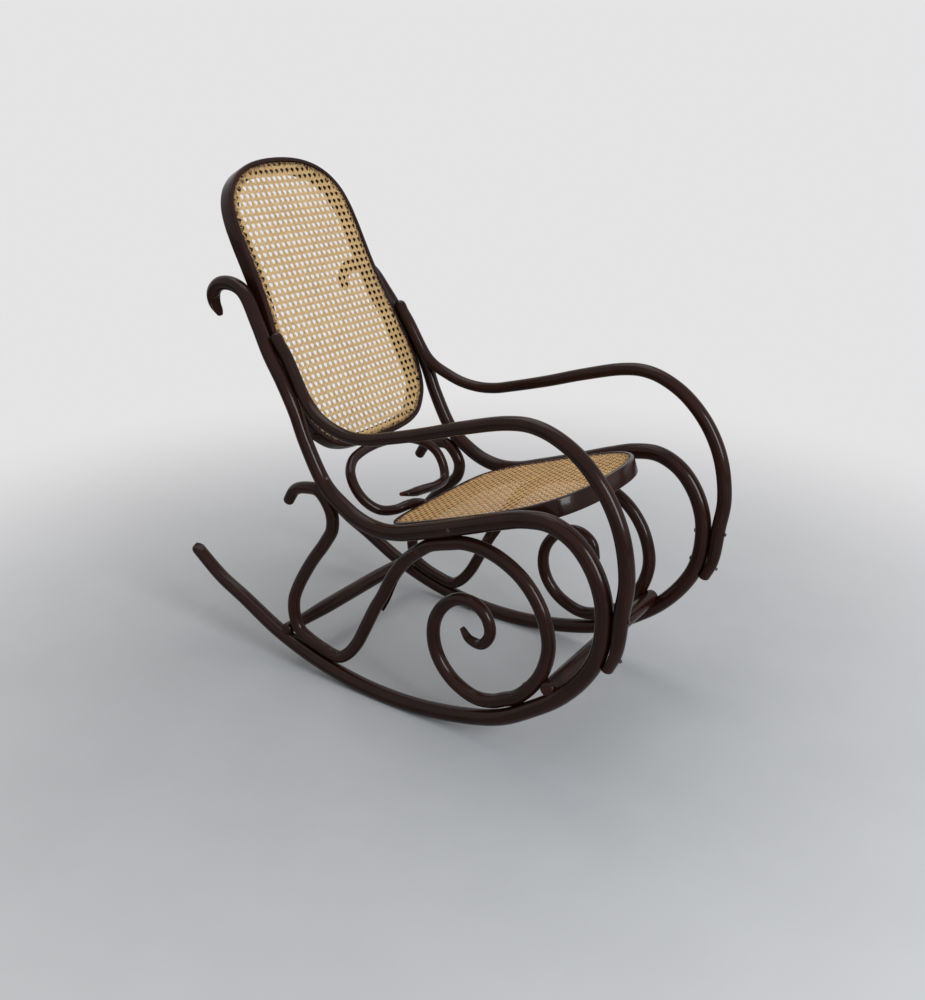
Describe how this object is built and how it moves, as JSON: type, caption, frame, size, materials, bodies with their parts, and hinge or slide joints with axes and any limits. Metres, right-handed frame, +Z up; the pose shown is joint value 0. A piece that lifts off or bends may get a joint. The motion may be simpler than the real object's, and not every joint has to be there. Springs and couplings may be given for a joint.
{
  "type": "bentwood rocking chair",
  "caption": "Rocking chair of bent round rods with scrolled side frames, a tall caned back, a sloping caned seat, bent arms and runners.",
  "frame": {"origin": "middle of the bounding box at floor level, under the seat", "axes": "+Z up, the sitter faces -Y, +X to the sitter's left"},
  "size_m": [0.473, 1.1062, 1.0613],
  "materials": {
    "member_wood": "dark brown varnish, semi-gloss",
    "arm_wood": "dark brown varnish, semi-gloss",
    "arch_wood": "dark brown varnish, semi-gloss",
    "scroll_wood": "dark brown varnish, semi-gloss",
    "stretcher_wood": "dark brown varnish, semi-gloss",
    "back_rim_wood": "dark brown varnish, semi-gloss",
    "seat_rim_wood": "dark brown varnish, semi-gloss",
    "ring_wood": "dark brown varnish, semi-gloss",
    "bolt_steel": "dull, darkened",
    "back_cane": "satin, pale straw",
    "seat_cane": "satin, golden straw",
    "back_binder_cane": "satin, darkened straw",
    "seat_binder_cane": "satin, darkened straw"
  },
  "bodies": {
    "root": {"side_member_right": "member_wood", "arm_right": "arm_wood", "arch_coil_right": "arch_wood", "rear_scroll_right": "scroll_wood", "arm_bolt_right_1": "bolt_steel", "arm_bolt_right_2": "bolt_steel", "side_member_left": "member_wood", "arm_left": "arm_wood", "arch_coil_left": "arch_wood", "rear_scroll_left": "scroll_wood", "arm_bolt_left_1": "bolt_steel", "arm_bolt_left_2": "bolt_steel", "front_stretcher": "stretcher_wood", "rear_stretcher": "stretcher_wood", "back_rim": "back_rim_wood", "back_cane": "back_cane", "back_binder": "back_binder_cane", "seat_rim": "seat_rim_wood", "seat_cane": "seat_cane", "seat_binder": "seat_binder_cane", "brace_ring": "ring_wood"}
  },
  "joints": []
}
